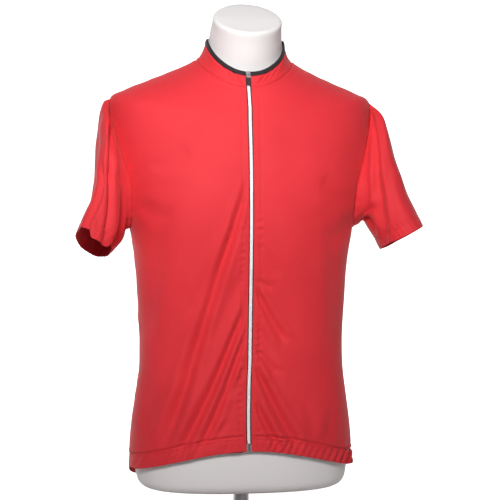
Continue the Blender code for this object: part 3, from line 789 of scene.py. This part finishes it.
# Slanting puckers beside the zip: angle from the zip at the seam and at the top, width, depth
COLLAR_PUCKERS = (
    (0.09, 0.42, 0.035, 2.3),
    (0.20, 0.62, 0.045, 1.6),
    (0.34, 0.86, 0.055, 0.9),
    (-0.11, -0.40, 0.035, 2.4),
    (-0.24, -0.66, 0.045, 1.5),
)
binding, tree, shader = new_material("black knitted binding", "#231b1e", 0.82, sheen_weight=0.35)
shader.inputs["Sheen Tint"].default_value = hex_to_linear("#8a7f82")
add_bump(tree, shader, cloth_bands(tree, "X", 1.6, 0.6), 0.4, 0.0002)

share = np.linspace(0, 1, COLLAR_COLUMNS + 1)
for name, first, last, count, wall, look in (
    ("collar", SEAM + SEAM_RINGS, BINDING_FROM - SEAM_RINGS, COLLAR_ROWS, CLOTH, knit),
    ("collar_binding", BINDING_FROM + SEAM_RINGS, COLLAR_TOP, 10, BINDING_WALL, binding),
):
    rings = np.linspace(first, last, count + 1)[:, None]
    start, end = angle_at(ZIP_OPENING, rings), 2 * math.pi + angle_at(-ZIP_OPENING, rings)
    theta = start * (1 - share) + end * share
    base, normals = surface(theta, rings)
    u, v = arc_lengths(base)
    if name == "collar":
        rise = (rings - first) / (last - first)
        turned = (theta + math.pi) % (2 * math.pi) - math.pi
        height = 0.35 * np.sin(7 * theta + 1.0 + 0.8 * np.sin(3 * theta)) * rise
        for low_angle, high_angle, half_angle, depth in COLLAR_PUCKERS:
            off = turned - (low_angle + (high_angle - low_angle) * rise)
            height -= depth * bell(off, half_angle) * ramp(rise, 0.02, 0.4)
        height += seam_roll(v) + 0.18 * np.sin(u / 3.4) * bell(v, 5.0)
        height += seam_roll(v[-1:] - v)
    else:
        across = (rings - first) / (last - first)
        height = 0.15 + 0.55 * np.sqrt(np.clip(1 - (2 * across - 1) ** 2, 0, 1))
        height = height + 0.3 * np.sin(7 * theta + 1.0 + 0.8 * np.sin(3 * theta))
        height -= 0.22 * bell(across - 0.24, 0.09)
    points = base + normals * height[..., None]
    panels[name] = (points, normals)
    made = cloth("cloth_" + name, points, points - wall * normals, look)
    stand_for(made, name)
    width, length, area = flat_size(base)


# Zip tapes
# Black woven tape under the fronts' edges. A millimetre of it shows on each side of the coil.

TAPE_WALL = 0.7
TAPE_SHOWS = 1.6
TAPE_UNDER = 0.15
TAPE_COLUMNS = 5
tape, tree, shader = new_material("black woven polyester tape", "#1d181b", 0.7)
add_bump(tree, shader, cloth_bands(tree, "DIAGONAL", 1.4, 0.4), 0.5, 0.00015)
for name, side in (("left", 1), ("right", -1)):
    near = slice(0, TAPE_COLUMNS) if side > 0 else slice(-1, -TAPE_COLUMNS - 1, -1)
    points, normals = (
        np.concatenate([front[2:, :TAPE_COLUMNS], collar[1:, near]])
        for front, collar in zip(panels["front_" + name], panels["collar"])
    )
    inner_edge = points[:, :1] - np.array([side * TAPE_SHOWS, 0, 0])
    points = np.concatenate([inner_edge, points], axis=1)
    normals = np.concatenate([normals[:, :1], normals], axis=1)
    top = points - (CLOTH + TAPE_UNDER) * normals
    made = cloth("woven_tape_" + name, top, top - TAPE_WALL * normals, tape)
    state_cloth(made, "zip_tape_" + name)


# Zip coil
# Two rows of white nylon teeth that mesh down the middle, on the white cord that they are sewn to.

COIL_PITCH = 1.25
COIL_REACH = 1.1
COIL_FROM = 0.27
COIL_TO = 16.9
COIL_DEPTH = 0.65
RING_HEIGHT = 35
TOOTH_SIZE = (0.78, 2.3, 1.1)
CORD_HALF_WIDTH = 2.1
CORD_DEPTH = 0.75
CORD_WALL = 0.9


def small_ball(name, size):
    """A rounded bead of a few dozen faces, to be set many times over."""
    work = bmesh.new()
    bmesh.ops.create_uvsphere(work, u_segments=8, v_segments=4, radius=0.5)
    bmesh.ops.scale(work, vec=[s * MM for s in size], verts=work.verts)
    mesh = bpy.data.meshes.new(name)
    work.to_mesh(mesh)
    work.free()
    mesh.shade_smooth()
    return bpy.data.objects.new(name, mesh)


def row_nodes():
    """Geometry nodes that set one small piece along lines at an even pitch, upright on them."""
    group = bpy.data.node_groups.new("rows of one piece", "GeometryNodeTree")
    for name, kind in (
        ("Lines", "Geometry"), ("Piece", "Object"), ("Pitch", "Float"), ("Unevenness", "Float"),
        ("Seed", "Int"), ("Material", "Material"),
    ):
        group.interface.new_socket(name, in_out="INPUT", socket_type="NodeSocket" + kind)
    group.interface.new_socket("Rows", in_out="OUTPUT", socket_type="NodeSocketGeometry")
    start = add_node(group, "NodeGroupInput").outputs
    curve = add_node(group, "GeometryNodeMeshToCurve", {"Mesh": start["Lines"]})
    spaced = add_node(
        group, "GeometryNodeResampleCurve",
        {"Curve": curve.outputs["Curve"], "Length": start["Pitch"]}, mode="LENGTH",
    )
    up = add_node(
        group, "GeometryNodeInputNamedAttribute", {"Name": "up"}, data_type="FLOAT_VECTOR"
    )
    tangent = add_node(group, "GeometryNodeInputTangent").outputs["Tangent"]
    along = add_node(
        group, "FunctionNodeAlignRotationToVector", {"Vector": tangent}, axis="X"
    )
    upright = add_node(
        group, "FunctionNodeAlignRotationToVector",
        {"Rotation": along.outputs["Rotation"], "Vector": up.outputs["Attribute"]},
        axis="Z", pivot_axis="X",
    )
    less = add_node(group, "ShaderNodeMath", {0: 1.0, 1: start["Unevenness"]}, operation="SUBTRACT")
    more = add_node(group, "ShaderNodeMath", {0: 1.0, 1: start["Unevenness"]}, operation="ADD")
    scale = add_node(
        group, "FunctionNodeRandomValue",
        {"Min": less.outputs[0], "Max": more.outputs[0], "Seed": start["Seed"]},
        data_type="FLOAT_VECTOR",
    )
    piece = add_node(group, "GeometryNodeObjectInfo", {"Object": start["Piece"]})
    placed = add_node(
        group, "GeometryNodeInstanceOnPoints",
        {"Points": spaced.outputs["Curve"], "Instance": piece.outputs["Geometry"],
         "Rotation": upright.outputs["Rotation"], "Scale": scale.outputs["Value"]},
    )
    real = add_node(
        group, "GeometryNodeRealizeInstances", {"Geometry": placed.outputs["Instances"]}
    )
    painted = add_node(
        group, "GeometryNodeSetMaterial",
        {"Geometry": real.outputs["Geometry"], "Material": start["Material"]},
    )
    add_node(group, "NodeGroupOutput", {"Rows": painted.outputs["Geometry"]})
    return group


row_group = row_nodes()


def rows_of(name, lines, piece, pitch, material, unevenness=0.06, seed=3):
    """One mesh of the small piece set along lines of (points, upward directions)."""
    mesh = bpy.data.meshes.new(name + "_lines")
    edges, used = [], 0
    for points, _ in lines:
        edges += [(used + n, used + n + 1) for n in range(len(points) - 1)]
        used += len(points)
    mesh.from_pydata(np.concatenate([points * MM for points, _ in lines]).tolist(), edges, [])
    ups = np.concatenate([ups for _, ups in lines])
    mesh.attributes.new("up", "FLOAT_VECTOR", "POINT").data.foreach_set("vector", ups.ravel())
    guide = add_object(name + "_guide", mesh)
    rows = guide.modifiers.new("rows", "NODES")
    rows.node_group = row_group
    values = {
        "Piece": piece, "Pitch": pitch * MM, "Unevenness": unevenness, "Seed": seed,
        "Material": material,
    }
    for item in row_group.interface.items_tree:
        if item.in_out == "INPUT" and item.name in values:
            rows[item.identifier] = values[item.name]
    graph = bpy.context.evaluated_depsgraph_get()
    result = bpy.data.meshes.new_from_object(guide.evaluated_get(graph), depsgraph=graph)
    bpy.data.objects.remove(guide)
    result.name = name
    return add_object(name, result)


def zip_line(x, first, last, depth, count=520):
    """A line down the zip at x from its middle, that far under the cloth's outer face."""
    rings = np.linspace(first, last, count)
    theta = angle_at(x, rings)
    points, normals = surface(theta, rings)
    return points - depth * normals, normals


def joined(parts):
    """The parts as one object, the first one's."""
    with bpy.context.temp_override(active_object=parts[0], selected_editable_objects=parts):
        bpy.ops.object.join()
    return parts[0]


nylon = new_material("white nylon coil", "#f4f3f5", 0.42)[0]
tooth = small_ball("tooth", TOOTH_SIZE)
pitch_in_rings = COIL_PITCH / 2 / RING_HEIGHT
teeth = rows_of(
    "coil_teeth",
    [
        zip_line(COIL_REACH, COIL_FROM, COIL_TO, COIL_DEPTH),
        zip_line(-COIL_REACH, COIL_FROM + pitch_in_rings, COIL_TO, COIL_DEPTH),
    ],
    tooth, COIL_PITCH, nylon, unevenness=0.02,
)
rings = np.linspace(COIL_FROM, COIL_TO, 300)[:, None]
theta = angle_at(np.linspace(-CORD_HALF_WIDTH, CORD_HALF_WIDTH, 7), rings)
points, normals = surface(theta, rings)
top = points - CORD_DEPTH * normals
made = joined([cloth("coil_cord", top, top - CORD_WALL * normals, nylon), teeth])
stand_for(made, "zip_chain")


# Slider, pull tab and box
# Die-cast zinc: a slider with a bridge, a tab that hangs from it, with a moulded black grip and a
# dark metal bar, and at the zip's foot the box that holds its ends. Its slot is not cut: a dark
# strip on the box's face is painted shade there.

SLIDER_RING = 16.55
BOX_RING = 0.12
SLIDER_SEAT = 0.35
SLIDER_THICKNESS = 1.8
BRIDGE = (2.0, 6.0, 3.4, 0.9)
BRIDGE_MIDDLE = 0.5
PIVOT_ALONG = 0.4
PIVOT_OUT = 3.1
ROUNDING = 0.28
# Plates: width, lower and upper end, corner radius, and the foot's width where it differs
SLIDER_BODY = (7.0, -5.0, 5.0, 1.6, 5.4)
PULL_TAB = (6.5, -20.3, 0.55, 1.5)
PULL_WINDOW = (3.5, -5.5, -0.65, 0.8)
PULL_GRIP = (6.4, -20.2, -7.4, 1.2)
PULL_BAR = (4.6, -16.6, -14.6, 0.5)
BOX_BODY = (7.8, -5.4, 5.4, 0.9)
# A dark strip on the box's face, painted shade for its slot, which is not cut
BOX_SLOT_SHADE = (1.5, -4.2, 5.0, 0.4)


def zip_frame(ring):
    """Place on the front's centre line: x across, y up along the zip, z out of the cloth."""
    theta = angle_at(0.0, ring)
    at, out = surface(theta, ring)
    up = unit(np.cross(out, (1.0, 0.0, 0.0)))
    columns = np.stack([np.cross(up, out), up, out, at * MM], axis=1)
    return Matrix(np.vstack([columns, (0, 0, 0, 1)]).tolist())


def rounded(width, low, high, radius, foot_width=None):
    """The outline of a plate with rounded corners, from low to high, its foot of another width."""
    outline = []
    foot = foot_width or width
    for x, y, turn in (
        (width / 2, high, 0), (-width / 2, high, 90), (-foot / 2, low, 180), (foot / 2, low, 270),
    ):
        for step in range(5):
            angle = math.radians(turn + 22.5 * step)
            sign_x = 1 if x > 0 else -1
            sign_y = 1 if y == high else -1
            outline.append(
                (x - sign_x * radius + radius * math.cos(angle),
                 y - sign_y * radius + radius * math.sin(angle))
            )
    return outline


def plate(name, outlines, thickness, material, matrix, rounding=ROUNDING):
    """A flat part: its outline and any windows in mm, cut from that thickness, edges rounded."""
    curve = bpy.data.curves.new(name, "CURVE")
    curve.dimensions = "2D"
    curve.fill_mode = "BOTH"
    curve.extrude = (thickness / 2 - rounding) * MM
    curve.bevel_depth = rounding * MM
    curve.bevel_resolution = 2
    curve.offset = -rounding * MM
    for outline in outlines:
        spline = curve.splines.new("POLY")
        spline.points.add(len(outline) - 1)
        for point, (x, y) in zip(spline.points, outline):
            point.co = (x * MM, y * MM, 0, 1)
        spline.use_cyclic_u = True
    shape = add_object(name, curve)
    graph = bpy.context.evaluated_depsgraph_get()
    mesh = bpy.data.meshes.new_from_object(shape.evaluated_get(graph), depsgraph=graph)
    bpy.data.objects.remove(shape)
    mesh.name = name
    mesh.transform(matrix)
    mesh.materials.clear()
    mesh.materials.append(material)
    mesh.shade_smooth()
    mesh.set_sharp_from_angle(angle=math.radians(35))
    return add_object(name, mesh)


def shift(x, y, z):
    """A move in mm."""
    return Matrix.Translation((x * MM, y * MM, z * MM))


zinc = new_material("die-cast zinc", "#b3b1b5", 0.36, metallic=0.85)[0]
# Dark plating for the pull's bar, also used as painted shade for the box's slot
dark_metal_and_slot_shade = new_material("gunmetal plating and painted slot shade", "#5a5759", 0.34, metallic=1.0)[0]
grip = new_material("black moulded nylon", "#1a1719", 0.5)[0]

frame_top = zip_frame(SLIDER_RING)
on_edge = Matrix.Rotation(math.pi / 2, 4, "Y")
width, length, height, stock = BRIDGE
low, high = BRIDGE_MIDDLE - length / 2, BRIDGE_MIDDLE + length / 2
foot = SLIDER_SEAT + SLIDER_THICKNESS - 0.4
arch = [
    (-foot, low), (-foot - height + 0.9, low), (-foot - height, low + 1.1),
    (-foot - height, high - 1.1), (-foot - height + 0.9, high), (-foot, high),
    (-foot, high - stock), (-foot - height + stock + 0.3, high - stock),
    (-foot - height + stock, high - stock - 0.5), (-foot - height + stock, low + stock + 0.5),
    (-foot - height + stock + 0.3, low + stock), (-foot, low + stock),
]
slider = joined([
    plate(
        "zip_slider_body", [rounded(*SLIDER_BODY)], SLIDER_THICKNESS, zinc,
        frame_top @ shift(0, 0, SLIDER_SEAT + SLIDER_THICKNESS / 2),
    ),
    plate("zip_slider_bridge", [arch], width, zinc, frame_top @ on_edge, 0.15),
])
stand_for(slider, "zip_slider")

pull_place = frame_top @ shift(0, PIVOT_ALONG, PIVOT_OUT)
pull = joined([
    plate("zip_pull_tab", [rounded(*PULL_TAB), rounded(*PULL_WINDOW)], 1.2, zinc, pull_place),
    plate("zip_pull_grip", [rounded(*PULL_GRIP)], 1.9, grip, pull_place),
    plate("zip_pull_bar", [rounded(*PULL_BAR)], 2.2, dark_metal_and_slot_shade, pull_place, 0.15),
])
stand_for(pull, "zip_pull", body="zip_pull")

frame_foot = zip_frame(BOX_RING)
box = joined([
    plate("zip_box_body", [rounded(*BOX_BODY)], 2.1, zinc, frame_foot @ shift(0, 0, -0.5)),
    # The dark strip is painted shade for the box's slot
    plate("zip_box_slot", [rounded(*BOX_SLOT_SHADE)], 0.5, dark_metal_and_slot_shade,
          frame_foot @ shift(0, 0, 0.42), 0.1),
])
stand_for(box, "zip_box")


# Stitching
# Red polyester thread in raised stitches: round the hem and both cuffs, beside the zip, and
# round and between the pockets. Its red is darker than the knit's, painted shade of the stitch
# groove.

THREAD = (2.3, 0.42, 0.42)
STITCH_PITCH = 2.9
# The thread's own red, made darker than the knit as painted shade of the groove it sits in
thread = new_material("red polyester thread with painted stitch shade", "#b4262f", 0.6)[0]
stitch = small_ball("stitch", THREAD)


def point_at(distance, run, line):
    """The point at a distance along a line, given how far along it each of its points lies."""
    return [np.interp(distance, run, line[:, axis]) for axis in range(3)]


def row_at(points, normals, distance):
    """The line over a panel's grid at one distance from its first row."""
    v = arc_lengths(points)[1]
    columns = range(points.shape[1])
    line = [point_at(distance, v[:, column], points[:, column]) for column in columns]
    ups = [point_at(distance, v[:, column], normals[:, column]) for column in columns]
    return np.array(line), unit(np.array(ups))


def proud(line, out=0.12):
    """The line a little off the cloth, so that the thread stands out of it."""
    return line[0] + out * line[1], line[1]


hem_lines = [
    proud(row_at(*panels[name], HEM_BAND)) for name in ("front_left", "front_right", "back")
]
zip_lines = []
for name, side in (("front_left", 1), ("front_right", -1)):
    points, normals = panels[name]
    u, v = arc_lengths(points)
    rows = np.flatnonzero(v[:, 0] > 3)
    line = np.array([point_at(ZIP_STITCHES, u[row], points[row]) for row in rows])
    ups = np.array([point_at(ZIP_STITCHES, u[row], normals[row]) for row in rows])
    zip_lines.append(proud((line, unit(ups))))
cuff_lines = []
for name in SLEEVES:
    points, normals = sleeves[name]
    reverse = points[::-1], normals[::-1]
    for place in CUFF_STITCHES:
        line, ups = row_at(*reverse, place)
        cuff_lines.append(proud((np.append(line, line[:1], 0), np.append(ups, ups[:1], 0))))
pocket_lines = []
columns = pocket_points.shape[1] - 1
for column in (2, round(columns / 3), round(columns * 2 / 3), columns - 2):
    line = pocket_points[:, column] + (CLOTH + 0.1) * pocket_normals[:, column]
    pocket_lines.append((line, pocket_normals[:, column]))
run = arc_lengths(pocket_points)[1][:, columns // 2]
from_top = run[-1] - run
for row in (2, np.argmax(from_top < POCKET_BAND)):
    line = pocket_points[row] + (CLOTH + 0.1) * pocket_normals[row]
    pocket_lines.append((line, pocket_normals[row]))
sewing = rows_of(
    "red_stitches", hem_lines + zip_lines + cuff_lines + pocket_lines, stitch, STITCH_PITCH, thread
)
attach(sewing, "root")


# Hem gripper and painted hem shade
# A dark elastic tape inside the hem that keeps the jersey down. Beside the zip it is let down below
# the fronts' edge, where its dark colour is painted shade under the hem.

GRIPPER_COLUMNS = 60
GRIPPER_ROWS = 15
# The tape's own dark colour, which below the hem's edge beside the zip is painted shade
elastic = new_material("dark elastic gripper tape and painted hem shade", "#4a3134", 0.6)[0]
for name, side in (("front_left", 1), ("front_right", -1)):
    points, normals = (grid[:GRIPPER_ROWS, 2:GRIPPER_COLUMNS] for grid in panels[name])
    top = points - (CLOTH + 0.1) * normals
    u = arc_lengths(top)[0]
    # Let down beside the zip, more on the right, so that the dark tape shows below the hem as
    # painted shade
    drop = (1.5 if side < 0 else 0.4) * ramp(u, 0, 3) * ramp(u, 36, 8)
    top[..., 2] -= drop
    made = cloth("gripper_" + name, top, top - 0.5 * normals, elastic)
    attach(made, "root")
    width, length, area = flat_size(top)


# Dress form
# A smooth limbless torso of fibreglass with a matt white coat. It narrows to a flat foot below the
# jersey and leans forward in a short neck with a domed cap.

FORM_FOOT = (
    (112.0, 138.0, 0, 112.0, -78, 112.0, 84, 2.4, 2.0),
    (113.5, 150.0, 0, 113.5, -88, 113.5, 94, 2.4, 2.0),
    (119.0, 160.5, 0, 119.0, -95, 119.0, 102, 2.35, 2.0),
    (131.0, 167.0, 1, 131.0, -99, 131.0, 107, 2.3, 2.0),
    (160.0, 170.0, 2, 165.0, -100, 155.0, 110, 2.3, 2.0),
    (205.0, 168.0, 2, 220.0, -99, 190.0, 109, 2.3, 2.0),
)
INSET_COLUMNS = ("ring", "inset")
FORM_INSETS = ((2.0, 8.5), (3.0, 8.0), (4.0, 8.0), (5.0, 8.0), (6.0, 7.5), (7.0, 6.5), (8.0, 5.5),
               (9.0, 5.0), (10.0, 4.4), (11.0, 2.7), (11.8, 2.4), (12.6, 2.3), (13.4, 2.3),
               (14.2, 2.3), (15.0, 2.4), (15.47, 2.6), (15.93, 2.6), (17.0, 3.4))
ZIP_RELIEF = 1.7
FORM_NECK = (
    (833.0, 56.0, -33, 783.0, -80, 850.0, 27, 2.0, 1.0),
    (841.0, 54.5, -42, 802.0, -86, 866.0, 15, 2.0, 1.0),
    (847.0, 54.0, -48, 816.0, -91, 877.0, 7, 2.0, 1.0),
    (850.0, 50.5, -49, 821.5, -89, 880.5, 2, 2.0, 1.0),
    (850.0, 44.5, -50, 824.5, -84, 879.5, -4, 2.0, 1.0),
)
FORM_COLUMNS = 128
FORM_FINER = 5
coat, tree, shader = new_material("matt white fibreglass coat", "#e6e3e2", 0.55)
shader.inputs["Specular IOR Level"].default_value = 0.35
add_bump(tree, shader, noise(tree, 900.0, 2.0), 0.12, 0.0002)


theta = np.linspace(0, 2 * math.pi, FORM_COLUMNS, endpoint=False)
relief = ZIP_RELIEF * np.maximum(np.cos(theta), 0) ** 12
loops = [ring_points(row, theta) for row in FORM_FOOT]
for ring, inset in FORM_INSETS:
    points, normals = surface(theta, ring)
    loops.append(points - (inset + relief)[:, None] * normals)
loops += [ring_points(row, theta) + (NECK_SHIFT, 0, 0) for row in FORM_NECK]
loops = np.stack(loops)
steps = np.linspace(0, len(loops) - 1, (len(loops) - 1) * FORM_FINER + 1)
shell = through(loops.reshape(len(loops), -1), steps).reshape(len(steps), FORM_COLUMNS, 3)
centre = shell[-1].mean(axis=0)
cap = [centre + (shell[-1] - centre) * share for share in (0.8, 0.6, 0.4, 0.2)]
shell = np.concatenate([shell, np.stack(cap)])
place = np.arange(shell.shape[0] * FORM_COLUMNS).reshape(shell.shape[:2])
around = np.roll(place, -1, axis=1)
faces = np.stack([place[:-1], around[:-1], around[1:], place[1:]], axis=-1).reshape(-1, 4).tolist()
faces.append(place[0][::-1].tolist())
faces.append(place[-1].tolist())
mesh = bpy.data.meshes.new("form_shell")
mesh.from_pydata((shell.reshape(-1, 3) * MM).tolist(), [], faces)
mesh.materials.append(coat)
mesh.shade_smooth()
mesh.set_sharp_from_angle(angle=math.radians(60))
form = add_object("form_shell", mesh)
stand_for(form, "dress_form")


# Stand
# A black painted flange under the form, a satin steel pole and a heavy round base plate.

FORM_BOTTOM = 112.0
SEAM_GAP = 0.3
FLANGE = (38.0, 8.0)
POLE_RADIUS = 12.5
BASE = (150.0, 8.0)
LATHE_SIDES = 96
paint = new_material("black painted steel", "#141314", 0.45)[0]
steel, tree, shader = new_material("satin stainless steel", "#c6c4c3", 0.34, metallic=0.85)
add_bump(tree, shader, noise(tree, 240.0, 4.0), 0.08, 0.0002)


def lathe(name, profile, material, node):
    """A turned part from a profile of (radius, height) in mm, closed on the axis at both ends."""
    work = bmesh.new()
    spine = [work.verts.new((r * MM, 0, z * MM)) for r, z in profile]
    edges = [work.edges.new(pair) for pair in zip(spine, spine[1:])]
    bmesh.ops.spin(
        work, geom=spine + edges, axis=(0, 0, 1), cent=(0, 0, 0), angle=2 * math.pi,
        steps=LATHE_SIDES, use_merge=True,
    )
    bmesh.ops.remove_doubles(work, verts=work.verts, dist=1e-6)
    bmesh.ops.recalc_face_normals(work, faces=work.faces)
    mesh = bpy.data.meshes.new(name)
    work.to_mesh(mesh)
    work.free()
    mesh.materials.append(material)
    mesh.shade_smooth()
    mesh.set_sharp_from_angle(angle=math.radians(40))
    stand_for(add_object(name, mesh), node)


def turned_edge(radius, low, high, rounding):
    """The profile of a disc or a rod whose two rims are rounded."""
    profile = [(0, low)]
    for middle, first in ((low + rounding, -90), (high - rounding, 0)):
        for step in range(5):
            angle = math.radians(first + 22.5 * step)
            reach = radius - rounding + rounding * math.cos(angle)
            profile.append((reach, middle + rounding * math.sin(angle)))
    return profile + [(0, high)]


flange_top = FORM_BOTTOM - SEAM_GAP
flange_low = flange_top - FLANGE[1]
lathe("flange_disc", turned_edge(FLANGE[0], flange_low, flange_top, 1.2), paint, "form_flange")
lathe("pole_tube", turned_edge(POLE_RADIUS, BASE[1] + SEAM_GAP, flange_low - SEAM_GAP, 0.4), steel,
      "stand_pole")
lathe("base_plate", turned_edge(BASE[0], 0.0, BASE[1], 3.0), steel, "stand_base")

low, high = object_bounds()
